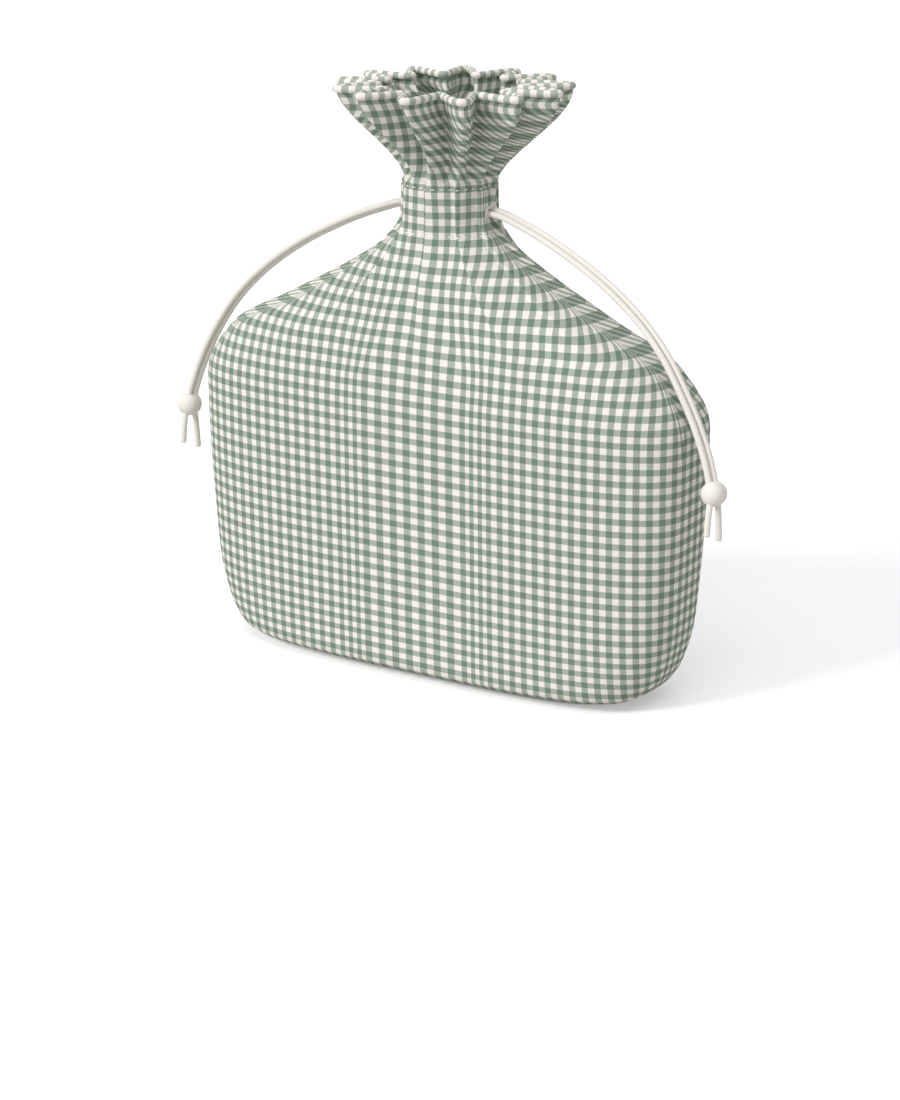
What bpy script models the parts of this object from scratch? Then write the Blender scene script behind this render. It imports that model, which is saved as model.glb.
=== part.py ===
"""A cotton drawstring pouch with a boxed bottom, drawn in at the neck below an open, fluted frill.

The cloth is one sewn shell. A facing sewn inside its neck makes the channel, and two cords run
round in it, one drawn out at each side. The two ends of each cord hang together in a knot.
"""

import math

import bmesh
import bpy
import numpy as np

# The cloth shell: heights from the surface that the pouch stands on, in metres
BODY_HEIGHT = 0.2246
NECK_TOP = 0.2397
RIM_HEIGHT = 0.2855
CLOTH_WALL = 0.0012
CORNER_EXPONENT = 3.5
BASE_HALF_WIDTH = 0.0965
BASE_HALF_DEPTH = 0.0255
BELLY_HALF_WIDTH = 0.1351
BELLY_HALF_DEPTH = 0.0400
SHOULDER_HALF_WIDTH = 0.0868
SHOULDER_HALF_DEPTH = 0.0333
NECK_RADIUS = 0.0221

# Share of the body's height, then how much of the widening and deepening from base to belly is reached
BASE_ROUNDING = ((0.0, 0.0, 0.0), (0.03, 0.47, 0.82), (0.09, 0.72, 0.86), (0.20, 0.88, 0.90))
BELLY_SHARE = 0.60

# Where the sides start to turn in, and by how much they have then come in from the belly
TURN_SHARE = 0.72
TURN_WIDTH = 0.0153
TURN_DEPTH = 0.0025

# Share of the body's height, then how much of the fall from shoulder to neck is still left
SHOULDER_FALL = ((0.80, 1.0, 1.0), (0.88, 0.49, 0.55), (0.94, 0.18, 0.15), (1.0, 0.01, 0.0))

# The gathers: thirteen flutes that start as shallow pleats at the neck and open out at the rim
FLUTES = 13
FLUTE_TURN = math.radians(4.2)
FLUTE_SHARPNESS = 0.06
FLUTE_FULLNESS = 0.1
PLEAT_HEIGHT = 0.0007
SHOULDER_PLEAT = 0.0012
GATHER_START = 0.62
GATHER_FULL = 0.82
RIM_TIP_RADIUS = 0.0545
RIM_FOLD_RADIUS = 0.0340
FOLD_DELAY = 1.4

# How far each flute's tip stands out beyond the rest, from the right-hand side round by the back
FLUTE_REACH = (
    0.0030, 0.0030, 0.0005, 0.0, -0.0005, -0.0005, -0.0005, 0.0, 0.0, 0.0012, 0.0012, 0.0006, 0.0020,
)

# How far the frill leans over half-way up, and which way, counted from the right-hand side
FRILL_LEAN = 0.0022
FRILL_LEAN_TURN = math.radians(33.0)

# The hem's roll: its size, and where round it the outer face ends and the inner one starts
LIP_RADIUS = 0.0021
LIP_START = math.radians(-40.0)
LIP_END = math.radians(220.0)

# The channel and its cords
FACING_WALL = 0.0010
FACING_BOTTOM = 0.2160
FACING_TOP = 0.2415
FACING_SLOPE = 0.0058
FACING_KNEE = 0.55
FACING_KNEE_ROOM = 0.6
CORD_DIAMETER = 0.0030
EXIT_HEIGHT = 0.2278
LOOP_RISE = 0.0042
GAP = 0.0003
PAIR_TILT = math.radians(25.0)

# The tied end of each pair of cords
KNOT_RADIUS = 0.0058
KNOT_SPREAD = 0.0012
FRONT_TAIL_DROP = 0.0190
BACK_TAIL_DROP = 0.0238
TAIL_SPREAD = 0.0060

# A tail's line: shares of its spread, of the knot's radius and of its own drop
TAIL_HANG = ((0.40, 0.35, 0.0), (0.66, 0.95, 0.0), (0.86, 0.0, 0.6), (1.0, 0.0, 1.0))

# Where the middle of the right-hand pair of cords runs, from the neck to the knot's centre
FREE_ROUTE = (
    (0.0236, 0.0000, 0.2278),
    (0.0290, 0.0000, 0.2271),
    (0.0346, 0.0000, 0.2254),
    (0.0462, -0.0004, 0.2213),
    (0.0575, -0.0010, 0.2167),
    (0.0684, -0.0016, 0.2115),
    (0.0792, -0.0023, 0.2059),
    (0.0896, -0.0030, 0.1996),
    (0.0995, -0.0039, 0.1927),
    (0.1090, -0.0048, 0.1850),
    (0.1175, -0.0060, 0.1767),
    (0.1253, -0.0072, 0.1673),
    (0.1320, -0.0083, 0.1572),
    (0.1381, -0.0090, 0.1467),
    (0.1433, -0.0096, 0.1358),
    (0.1476, -0.0103, 0.1244),
    (0.1509, -0.0111, 0.1128),
)

# How finely the shapes are divided
COLUMNS = 8 * FLUTES
LIP_STEPS = 5
OUTLINE_STEPS = 1440
NORMAL_STEP = 0.0002
SLOT_SIDES = 16
BEND_STEPS = 5
RUN_STEPS = 20
CORD_STEP = 2.8 * CORD_DIAMETER
LOBE_SEGMENTS = 14
LOBE_RINGS = 9
BODY_SHARES = (0.0, 0.012, 0.04, 0.09, 0.2, 0.55, 0.62, 0.67, 0.71, 0.75, 0.79, 0.84, 0.89, 0.93)
FRILL_SHARES = (0.2, 0.4, 0.6, 0.8, 1.0)

GINGHAM = (0.60, 0.66, 0.58, 1.0)
FACING_COTTON = (0.66, 0.71, 0.63, 1.0)
CORD_COTTON = (0.92, 0.87, 0.80, 1.0)


def clear_scene():
    for thing in list(bpy.data.objects):
        bpy.data.objects.remove(thing)


def cotton(name, colour, roughness):
    material = bpy.data.materials.new(name)
    material.use_nodes = True
    shader = material.node_tree.nodes["Principled BSDF"]
    shader.inputs["Base Color"].default_value = colour
    shader.inputs["Roughness"].default_value = roughness
    shader.inputs["Metallic"].default_value = 0.0
    return material


def ease(share):
    """Rises smoothly from 0 to 1."""
    share = min(max(share, 0.0), 1.0)
    return share * share * (3.0 - 2.0 * share)


def smooth_value(stations, column, height):
    """A value between stations on a curve that never overshoots them."""
    heights = np.array([station[0] for station in stations])
    values = np.array([station[column] for station in stations])
    spans = np.diff(heights)
    slopes = np.diff(values) / spans
    tangents = np.concatenate([slopes[:1], np.zeros(len(slopes) - 1), slopes[-1:]])
    for i in range(1, len(slopes)):
        if slopes[i - 1] * slopes[i] > 0:
            before, after = spans[i - 1] + 2 * spans[i], 2 * spans[i - 1] + spans[i]
            tangents[i] = (before + after) / (before / slopes[i - 1] + after / slopes[i])
    i = int(np.clip(np.searchsorted(heights, height) - 1, 0, len(spans) - 1))
    u = (height - heights[i]) / spans[i]
    start = (1 + 2 * u) * (1 - u) ** 2 * values[i] + u * (1 - u) ** 2 * spans[i] * tangents[i]
    return start + u * u * (3 - 2 * u) * values[i + 1] + u * u * (u - 1) * spans[i] * tangents[i + 1]


def body_stations():
    """Height, half width and half depth of the cloth from the base to the top of the neck."""
    widening = BELLY_HALF_WIDTH - BASE_HALF_WIDTH
    deepening = BELLY_HALF_DEPTH - BASE_HALF_DEPTH
    narrowing = SHOULDER_HALF_WIDTH - NECK_RADIUS
    thinning = SHOULDER_HALF_DEPTH - NECK_RADIUS
    stations = []
    for share, wide, deep in BASE_ROUNDING:
        half_width = BASE_HALF_WIDTH + wide * widening
        stations.append((share * BODY_HEIGHT, half_width, BASE_HALF_DEPTH + deep * deepening))
    stations.append((BELLY_SHARE * BODY_HEIGHT, BELLY_HALF_WIDTH, BELLY_HALF_DEPTH))
    turned = (BELLY_HALF_WIDTH - TURN_WIDTH, BELLY_HALF_DEPTH - TURN_DEPTH)
    stations.append((TURN_SHARE * BODY_HEIGHT, *turned))
    for share, wide, deep in SHOULDER_FALL:
        half_width = NECK_RADIUS + wide * narrowing
        stations.append((share * BODY_HEIGHT, half_width, NECK_RADIUS + deep * thinning))
    stations.append((NECK_TOP, NECK_RADIUS, NECK_RADIUS))
    return stations


def outline_sizes(height):
    """Half width, half depth, corner exponent, flute height and flute fullness at a height."""
    if height <= NECK_TOP:
        width = smooth_value(body_stations(), 1, height)
        depth = smooth_value(body_stations(), 2, height)
        share = height / BODY_HEIGHT
        gathered = ease((share - GATHER_START) / (1.0 - GATHER_START))
        rise = ease((share - GATHER_START) / (GATHER_FULL - GATHER_START))
        flattened = ease((share - SHOULDER_FALL[0][0]) / (1.0 - SHOULDER_FALL[0][0]))
        exponent = CORNER_EXPONENT + (2.0 - CORNER_EXPONENT) * gathered
        pleat = SHOULDER_PLEAT + (PLEAT_HEIGHT - SHOULDER_PLEAT) * flattened
        return width, depth, exponent, rise * pleat, 0.0
    share = (height - NECK_TOP) / (RIM_HEIGHT - NECK_TOP)
    tip = NECK_RADIUS + PLEAT_HEIGHT
    tip += (RIM_TIP_RADIUS - tip) * ease(share)
    fold = NECK_RADIUS - PLEAT_HEIGHT
    fold += (RIM_FOLD_RADIUS - fold) * share**FOLD_DELAY
    middle = (tip + fold) / 2
    return middle, middle, 2.0, (tip - fold) / 2, FLUTE_FULLNESS * ease(2.0 * share)


def cloth_ring(height):
    """The cloth's outer points round one level: a rounded outline with the flutes standing on it."""
    width, depth, exponent, flute, fullness = outline_sizes(height)
    turn = np.linspace(0.0, 2.0 * math.pi, OUTLINE_STEPS + 1)
    across, along = np.cos(turn), np.sin(turn)
    x = width * np.sign(across) * np.abs(across) ** (2.0 / exponent)
    y = depth * np.sign(along) * np.abs(along) ** (2.0 / exponent)
    travelled = np.concatenate([[0.0], np.cumsum(np.hypot(np.diff(x), np.diff(y)))])
    travelled /= travelled[-1]
    phase = 2.0 * math.pi * FLUTES * np.arange(COLUMNS) / COLUMNS
    places = FLUTE_TURN / (2.0 * math.pi) + np.arange(COLUMNS) / COLUMNS
    places = places + fullness * np.sin(2.0 * phase) / (4.0 * math.pi * FLUTES)
    wave = np.cos(phase) - FLUTE_SHARPNESS * np.cos(3.0 * phase)
    lift = flute * wave / (1.0 - FLUTE_SHARPNESS)
    share = max(0.0, (height - NECK_TOP) / (RIM_HEIGHT - NECK_TOP))
    nearest = np.round(FLUTES * np.arange(COLUMNS) / COLUMNS).astype(int) % FLUTES
    lift = lift + ease(share) * np.array(FLUTE_REACH)[nearest] * (1.0 + np.cos(phase)) / 2
    lean = FRILL_LEAN * 4.0 * share * (1.0 - share)

    def along_outline(share, values):
        return np.interp(share % 1.0, travelled, values)

    step = 0.5 / OUTLINE_STEPS
    tangent_x = along_outline(places + step, x) - along_outline(places - step, x)
    tangent_y = along_outline(places + step, y) - along_outline(places - step, y)
    length = np.hypot(tangent_x, tangent_y)
    ring_x = along_outline(places, x) + lift * tangent_y / length + lean * math.cos(FRILL_LEAN_TURN)
    ring_y = along_outline(places, y) - lift * tangent_x / length + lean * math.sin(FRILL_LEAN_TURN)
    return np.column_stack([ring_x, ring_y, np.full(COLUMNS, height)])


def outward(height):
    """The cloth's outward directions at one level."""
    ring = cloth_ring(height)
    up = cloth_ring(height + NORMAL_STEP) - cloth_ring(max(height - NORMAL_STEP, 0.0))
    across = np.roll(ring, -1, axis=0) - np.roll(ring, 1, axis=0)
    normal = np.cross(across, up)
    return normal / np.linalg.norm(normal, axis=1)[:, None]


def loft(name, rings, closed, material):
    """A solid skinned over rings of equal count. An open stack of rings is capped at both ends."""
    mesh = bmesh.new()
    rows = [[mesh.verts.new(point) for point in ring] for ring in rings]
    pairs = list(zip(rows, rows[1:]))
    if closed:
        pairs.append((rows[-1], rows[0]))
    for low, high in pairs:
        for i in range(len(low)):
            j = (i + 1) % len(low)
            mesh.faces.new((low[i], low[j], high[j], high[i]))
    if not closed:
        for row, first, second in ((rows[0], 1, 0), (rows[-1], 0, 1)):
            centre = mesh.verts.new(np.mean([vert.co for vert in row], axis=0))
            for i in range(len(row)):
                edge = (row[i], row[(i + 1) % len(row)])
                mesh.faces.new((edge[first], edge[second], centre))
    data = bpy.data.meshes.new(name)
    mesh.to_mesh(data)
    mesh.free()
    data.shade_smooth()
    return place(name, data, material)


def place(name, data, material=None):
    made = bpy.data.objects.new(name, data)
    bpy.context.scene.collection.objects.link(made)
    if material:
        data.materials.append(material)
    return made


def as_helper(thing):
    thing.hide_render = True
    thing.display_type = "WIRE"
    return thing


def combine(target, helper, operation):
    cut = target.modifiers.new(helper.name, "BOOLEAN")
    cut.operation = operation
    cut.solver = "EXACT"
    cut.object = helper


def cloth_levels():
    body = [share * BODY_HEIGHT for share in BODY_SHARES]
    neck = [FACING_BOTTOM, BODY_HEIGHT, NECK_TOP]
    lip_foot = RIM_HEIGHT - LIP_RADIUS
    frill = [NECK_TOP + share * (lip_foot - NECK_TOP) for share in FRILL_SHARES]
    return body + neck + frill


def pouch_cloth(material):
    """Outer skin, rolled lip and inner skin in one closed wall, with a slot for the cords each side."""
    levels = cloth_levels()
    outer = [cloth_ring(height) for height in levels]
    normals = [outward(height) for height in levels]
    inner = [ring - normal * CLOTH_WALL for ring, normal in zip(outer, normals)]
    flat = normals[0] * (1.0, 1.0, 0.0)
    flat /= np.linalg.norm(flat, axis=1)[:, None]
    inner[0] = outer[0] - flat * CLOTH_WALL + (0.0, 0.0, CLOTH_WALL)
    lip = rolled_lip(outer[-1], normals[-1])
    cloth = loft("pouch_cloth", outer + lip + inner[::-1], False, material)
    for side, name in ((1.0, "right_slot"), (-1.0, "left_slot")):
        combine(cloth, exit_slot(name, side), "DIFFERENCE")
    return cloth


def rolled_lip(edge, normal):
    """The hem rolled round at the rim, from the outer skin over the top to the inner skin."""
    across = np.roll(edge, -1, axis=0) - np.roll(edge, 1, axis=0)
    up = np.cross(normal, across)
    up /= np.linalg.norm(up, axis=1)[:, None]
    reach = math.sqrt(LIP_RADIUS**2 - (CLOTH_WALL / 2) ** 2)
    centre = edge - normal * CLOTH_WALL / 2 + up * reach
    rings = []
    for i in range(LIP_STEPS):
        angle = LIP_START + (LIP_END - LIP_START) * i / (LIP_STEPS - 1)
        rings.append(centre + LIP_RADIUS * (math.cos(angle) * normal + math.sin(angle) * up))
    return rings


def exit_slot(name, side):
    """A cutter with round ends through the neck's side, as wide as a pair of cords."""
    half_height = CORD_DIAMETER / 2 + pair_offset()[1] + GAP
    half_width = loop_width_at(inner_neck_radius()) + CORD_DIAMETER / 2 + GAP
    reach = (inner_neck_radius() - 2 * CORD_DIAMETER, NECK_RADIUS + 2 * CORD_DIAMETER)
    rings = []
    for x in reach if side > 0 else (-reach[1], -reach[0]):
        ring = []
        for i in range(SLOT_SIDES):
            angle = 2.0 * math.pi * (i + 0.5) / SLOT_SIDES
            shift = math.copysign(half_width - half_height, math.cos(angle))
            y = shift + half_height * math.cos(angle)
            ring.append((x, y, EXIT_HEIGHT + half_height * math.sin(angle)))
        rings.append(ring)
    return as_helper(loft(name, rings, False, None))


def inner_neck_radius():
    return NECK_RADIUS - PLEAT_HEIGHT - CLOTH_WALL


def pair_offset():
    """How far each cord of a pair lies from the pair's middle: sideways and up."""
    half = (CORD_DIAMETER + GAP) / 2
    return half * math.cos(PAIR_TILT), half * math.sin(PAIR_TILT)


def channel_facing(material):
    """The inner band whose edges are sewn to the neck, standing off between them for the cords."""
    room = CORD_DIAMETER + GAP + 2.0 * PLEAT_HEIGHT
    levels = (
        (FACING_BOTTOM, 0.0),
        (FACING_BOTTOM + FACING_KNEE * FACING_SLOPE, FACING_KNEE_ROOM * room),
        (FACING_BOTTOM + FACING_SLOPE, room),
        (FACING_TOP - FACING_SLOPE, room),
        (FACING_TOP - FACING_KNEE * FACING_SLOPE, FACING_KNEE_ROOM * room),
        (FACING_TOP, 0.0),
    )
    front, back = [], []
    for height, stand_off in levels:
        gathered = NECK_TOP if stand_off == room else height
        ring, normal = cloth_ring(gathered)[::2], outward(gathered)[::2]
        ring[:, 2] = height
        flat = normal * (1.0, 1.0, 0.0)
        slant = np.linalg.norm(flat, axis=1)[:, None]
        flat /= slant
        depth = (CLOTH_WALL + GAP) / slant + stand_off
        front.append(ring - flat * depth)
        back.append(ring - flat * (depth + FACING_WALL))
    return loft("channel_facing", front + back[::-1], True, material)


def loop_radius():
    return inner_neck_radius() - GAP - CORD_DIAMETER / 2


def bend_radius():
    return 2.0 * CORD_DIAMETER


def exit_reach():
    """How far from the neck's axis a cord has finished turning outward."""
    side = bend_radius() + pair_offset()[0]
    return math.sqrt((loop_radius() + bend_radius()) ** 2 - side**2)


def loop_width_at(reach):
    """Half the spread of the pair where it passes a distance from the neck's axis."""
    short = exit_reach() - reach
    return bend_radius() + pair_offset()[0] - math.sqrt(bend_radius() ** 2 - short**2)


def drawn_loop(name, side, rise, material):
    """The part of one cord that lies in the channel, from its exit round the neck and back."""
    bend_centre = (exit_reach(), bend_radius() + pair_offset()[0])
    meeting = math.atan2(bend_centre[1], bend_centre[0])
    bend = []
    for i in range(BEND_STEPS):
        angle = 1.5 * math.pi - (math.pi / 2 - meeting) * i / BEND_STEPS
        x = bend_centre[0] + bend_radius() * math.cos(angle)
        bend.append((x, bend_centre[1] + bend_radius() * math.sin(angle)))
    steps = math.ceil((2.0 * math.pi - 2.0 * meeting) * loop_radius() / (2.0 * CORD_DIAMETER))
    flat = list(bend)
    for i in range(steps + 1):
        angle = meeting + (2.0 * math.pi - 2.0 * meeting) * i / steps
        flat.append((loop_radius() * math.cos(angle), loop_radius() * math.sin(angle)))
    flat += [(x, -y) for x, y in reversed(bend)]
    points = []
    for x, y in flat:
        angle = math.atan2(y, x) % (2.0 * math.pi)
        if x > exit_reach() - bend_radius() / 2:
            angle = 0.0 if y > 0 else 2.0 * math.pi
        height = EXIT_HEIGHT + rise * (1.0 - math.cos(angle)) / 2
        height += pair_offset()[1] * math.cos(angle / 2)
        points.append((side * x, side * y, height))
    return cord(name, points, material)


def cord(name, points, material):
    """A round cord with flat ends along a run of points."""
    data = bpy.data.curves.new(name, "CURVE")
    data.dimensions = "3D"
    data.bevel_depth = CORD_DIAMETER / 2
    data.bevel_resolution = 2
    data.use_fill_caps = True
    spline = data.splines.new("POLY")
    spline.points.add(len(points) - 1)
    for target, point in zip(spline.points, points):
        target.co = (*point, 1.0)
    return place(name, data, material)


def smooth_run(points, steps):
    """Points read evenly from a smooth curve through the given ones."""
    fixed = np.array([2 * np.array(points[0]) - points[1], *points, 2 * np.array(points[-1]) - points[-2]])
    fine = []
    for i in range(1, len(fixed) - 2):
        before, start, end, after = fixed[i - 1 : i + 3]
        for u in np.linspace(0.0, 1.0, RUN_STEPS, endpoint=False):
            bow = (2 * before - 5 * start + 4 * end - after) * u**2
            twist = (3 * start - before - 3 * end + after) * u**3
            fine.append(0.5 * (2 * start + (end - before) * u + bow + twist))
    fine.append(fixed[-2])
    fine = np.array(fine)
    travelled = np.concatenate([[0.0], np.cumsum(np.linalg.norm(np.diff(fine, axis=0), axis=1))])
    marks = np.linspace(0.0, travelled[-1], steps)
    return np.column_stack([np.interp(marks, travelled, fine[:, k]) for k in range(3)])


def free_route():
    """The middle of the right-hand pair, from just outside its slot to the knot's centre."""
    route = [np.array(point) for point in FREE_ROUTE]
    route[0] = np.array([exit_reach() + 2.0 * GAP, 0.0, EXIT_HEIGHT])
    return route


def free_cords(side, material):
    """The two hanging strands of one side, lying a hair apart down to the knot."""
    route = smooth_run(free_route(), 600)
    from_knot = np.linalg.norm(route - route[-1], axis=1)
    route = route[from_knot > KNOT_RADIUS + GAP + KNOT_SPREAD / 4]
    along = np.gradient(route, axis=0)
    along /= np.linalg.norm(along, axis=1)[:, None]
    sideways = np.array([0.0, 1.0, 0.0]) - along * along[:, 1:2]
    sideways /= np.linalg.norm(sideways, axis=1)[:, None]
    upward = np.cross(along, sideways)
    made = []
    for name, toward in (("back", 1.0), ("front", -1.0)):
        offset = sideways * pair_offset()[0] * toward + upward * pair_offset()[1] * toward * side
        strand = (route + offset) * (side, 1.0, 1.0)
        length = np.linalg.norm(np.diff(strand, axis=0), axis=1).sum()
        count = math.ceil(length / CORD_STEP)
        picked = strand[np.linspace(0, len(strand) - 1, count).round().astype(int)]
        label = "right" if side > 0 else "left"
        made.append(cord(f"drawcord_{label}_{name}", picked, material))
    return made


def cord_solid(name, points):
    """A length of cord as a closed mesh, to be joined to another."""
    bent = cord(name, points, None)
    bpy.context.view_layer.update()
    data = bpy.data.meshes.new_from_object(bent.evaluated_get(bpy.context.evaluated_depsgraph_get()))
    bpy.data.objects.remove(bent)
    mesh = bmesh.new()
    mesh.from_mesh(data)
    bmesh.ops.remove_doubles(mesh, verts=mesh.verts, dist=1e-6)
    mesh.to_mesh(data)
    mesh.free()
    return place(name, data)


def lobe(name, centre):
    data = bpy.data.meshes.new(name)
    mesh = bmesh.new()
    bmesh.ops.create_uvsphere(
        mesh, u_segments=LOBE_SEGMENTS, v_segments=LOBE_RINGS, radius=KNOT_RADIUS
    )
    bmesh.ops.translate(mesh, verts=mesh.verts, vec=centre)
    mesh.to_mesh(data)
    mesh.free()
    data.shade_smooth()
    return place(name, data)


def tied_end(side, material):
    """Both strands tied together: a two-lobed ball knot with the cut ends hanging from it."""
    label = "right" if side > 0 else "left"
    centre = np.array(FREE_ROUTE[-1]) * (side, 1.0, 1.0)
    spread = np.array([0.0, KNOT_SPREAD / 2, 0.0])
    knot = lobe(f"knot_{label}", centre - spread)
    knot.data.materials.append(material)
    combine(knot, as_helper(lobe(f"{label}_back_lobe", centre + spread)), "UNION")
    for name, toward, drop in (("back", 1.0, BACK_TAIL_DROP), ("front", -1.0, FRONT_TAIL_DROP)):
        hang = []
        for spread_share, knot_share, drop_share in TAIL_HANG:
            fallen = knot_share * KNOT_RADIUS + drop_share * drop
            hang.append((0.0, toward * spread_share * TAIL_SPREAD, -fallen))
        tail = cord_solid(f"{label}_{name}_tail", smooth_run([centre + point for point in hang], 7))
        combine(knot, as_helper(tail), "UNION")
    return knot


def main():
    clear_scene()
    gingham = cotton("gingham_cotton", GINGHAM, 0.88)
    facing = cotton("facing_cotton", FACING_COTTON, 0.9)
    braid = cotton("cotton_cord", CORD_COTTON, 0.8)
    pouch_cloth(gingham)
    channel_facing(facing)
    drawn_loop("drawcord_left_loop", -1.0, LOOP_RISE, braid)
    drawn_loop("drawcord_right_loop", 1.0, -LOOP_RISE, braid)
    for side in (-1.0, 1.0):
        free_cords(side, braid)
        tied_end(side, braid)


main()
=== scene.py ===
"""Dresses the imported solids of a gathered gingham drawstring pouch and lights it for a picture."""

import math

import bmesh
import bpy
import numpy as np
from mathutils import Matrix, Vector


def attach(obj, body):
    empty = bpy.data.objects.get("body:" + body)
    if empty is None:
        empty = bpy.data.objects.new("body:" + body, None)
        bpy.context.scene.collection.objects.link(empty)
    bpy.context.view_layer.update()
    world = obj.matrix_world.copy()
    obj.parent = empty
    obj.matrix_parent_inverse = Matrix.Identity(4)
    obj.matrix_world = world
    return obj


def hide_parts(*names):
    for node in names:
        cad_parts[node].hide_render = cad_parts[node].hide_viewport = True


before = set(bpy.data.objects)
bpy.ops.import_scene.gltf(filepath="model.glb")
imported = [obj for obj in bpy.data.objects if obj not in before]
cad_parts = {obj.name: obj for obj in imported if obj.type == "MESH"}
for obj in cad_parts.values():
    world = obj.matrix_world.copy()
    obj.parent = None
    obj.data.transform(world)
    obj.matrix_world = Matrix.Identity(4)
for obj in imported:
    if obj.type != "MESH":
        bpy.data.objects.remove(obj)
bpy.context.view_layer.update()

# The cloth's form, as the solids have it, in metres
BODY_HEIGHT = 0.2246
NECK_TOP = 0.2397
RIM_HEIGHT = 0.2855
CLOTH_WALL = 0.0008
CORNER_EXPONENT = 3.5
BASE_HALF_WIDTH = 0.0965
BASE_HALF_DEPTH = 0.0255
BELLY_HALF_WIDTH = 0.1351
BELLY_HALF_DEPTH = 0.0400
SHOULDER_HALF_WIDTH = 0.0868
SHOULDER_HALF_DEPTH = 0.0333
NECK_RADIUS = 0.0221
FLUTES = 13
FLUTE_TURN = math.radians(4.2)
FLUTE_FULLNESS = 0.1
PLEAT_HEIGHT = 0.0007
SHOULDER_PLEAT = 0.0012
RIM_TIP_RADIUS = 0.0545
RIM_FOLD_RADIUS = 0.0340

# The rolled hem: its radius, and in degrees where its roll starts and how far it goes
LIP_RADIUS = 0.0018
LIP_START = -58.0
LIP_TURN = 296.0

# How the body swells from its base: share of its height, then how much of the swell to the belly
# is reached there in width and in depth
BODY_SWELL = ((0.03, 0.47, 0.82), (0.09, 0.72, 0.86), (0.20, 0.88, 0.90))

# Shares of the body's height at the belly, where the shoulders round over, and at the shoulders
BELLY_LEVEL = 0.60
ROUND_OVER_LEVEL = 0.72
SHOULDER_LEVEL = 0.80

# How much narrower and thinner than the belly the body is where the shoulders round over
ROUND_OVER_WIDTH = 0.0153
ROUND_OVER_DEPTH = 0.0025

# How the shoulders fall to the neck: share of the height, then how much of the fall is left there
SHOULDER_FALL = ((0.88, 0.49, 0.55), (0.94, 0.18, 0.15), (1.0, 0.01, 0.0))

# Where the outline begins to turn round and the pleats to rise, as a share of the body's height,
# and over what shares the pleats rise to their full height and then sink to the neck's
GATHERS_START = 0.62
PLEATS_RISE = 0.2
PLEATS_SINK = 0.2

# The frill's folds: how late they open, and how far they dip in just above the neck, with the
# shares of the frill's height over which the dip comes and goes
FOLD_DELAY = 1.8
FOLD_DIP = 0.0016
DIP_COMES = 0.2
DIP_GOES = 0.5

# How sharp the flutes' creases are at the neck, and how much softer at the rim
CREASE_SHARPNESS = 0.99
CREASE_SOFTENING = 0.22

# How each flute's tip stands out at the rim, from the right-hand side round by the back, and how
# far and which way the frill leans at its middle
FLUTE_REACH = (
    0.0030, 0.0030, 0.0005, 0.0, -0.0005, -0.0005, -0.0005,
    0.0, 0.0, 0.0012, 0.0012, 0.0006, 0.0020,
)
FRILL_LEAN = 0.0022
FRILL_LEAN_TURN = math.radians(33.0)

# The neck's lapped pleats: where each one folds, in degrees from the front's middle to the right
LAPS = (-160.0, -124.0, -95.0, -63.0, -38.0, 2.0, 38.0, 68.0, 96.0, 131.0, 166.0)
LAP_RISE = 0.0028
LAP_BASE = 0.00035
LAP_FALL = 0.65

# The height where the laps begin, what it takes them to rise in full, and how far above the neck
# they last. The flutes are flattened under them, and stand up again just above the neck.
LAPS_START = 0.155
LAPS_GROWTH = 0.045
LAPS_FADE = 0.018
FLUTES_FLATTENED = 0.8
FLUTES_RETURN_BELOW = 0.001
FLUTES_RETURN = 0.006

# The inner skin turns from square to the cloth to straight inward over these heights, and lies
# this many walls in where it has turned
TURN_INWARD_START = 0.165
TURN_INWARD_SPAN = 0.03
TURN_INWARD_WALLS = 1.2

# The channel and its seams. The facing's slopes bend at shares of their height and of its room.
LOWER_SEAM = 0.2176
UPPER_SEAM = 0.2397
FACING_WALL = 0.0010
FACING_BOTTOM = 0.2160
FACING_TOP = 0.2415
FACING_SLOPE = 0.0058
FACING_BEND = (0.55, 0.6)

# The cords, how a pair of them is turned, and their knots
CORD_DIAMETER = 0.0030
CORD_RADIUS = CORD_DIAMETER / 2
EXIT_HEIGHT = 0.2278
GAP = 0.0003
PAIR_TILT = math.radians(25.0)
KNOT_RADIUS = 0.0058
KNOT_SPREAD = 0.0012
FRONT_TAIL_DROP = 0.0190
BACK_TAIL_DROP = 0.0238
TAIL_SPREAD = 0.0060

# How a tail leaves its knot and hangs: shares of its spread sideways and of a length downward,
# which is the knot's radius at first and then the tail's own drop
TAIL_IN_KNOT = ((0.40, 0.35), (0.66, 0.95))
TAIL_BELOW = ((0.86, 0.6), (1.0, 1.0))

# Where the middle of the right-hand pair of cords runs, from the neck to the knot's centre
FREE_ROUTE = (
    (0.0236, 0.0000, 0.2278),
    (0.0290, 0.0000, 0.2271),
    (0.0346, 0.0000, 0.2254),
    (0.0462, -0.0004, 0.2213),
    (0.0575, -0.0010, 0.2167),
    (0.0684, -0.0016, 0.2115),
    (0.0792, -0.0023, 0.2059),
    (0.0896, -0.0030, 0.1996),
    (0.0995, -0.0039, 0.1927),
    (0.1090, -0.0048, 0.1850),
    (0.1175, -0.0060, 0.1767),
    (0.1253, -0.0072, 0.1673),
    (0.1320, -0.0083, 0.1572),
    (0.1381, -0.0090, 0.1467),
    (0.1433, -0.0096, 0.1358),
    (0.1476, -0.0103, 0.1244),
    (0.1509, -0.0111, 0.1128),
)

# The cords' braid: how many plaits cross, the length of one turn, and how far they stand out
PLAITS = 8
PLAIT_TURN = 0.0042
PLAIT_RELIEF = 0.00006

# A strand is drawn from its slot to this share of the knot's radius from the knot's middle
STRAND_END = 0.55
STRAND_POINTS = 40

# A cord's cut end: how far in it begins to round off, in radii, and how thick it is at the end
CUT_END_LENGTH = 0.5
CUT_END_SIZE = 0.80

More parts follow.
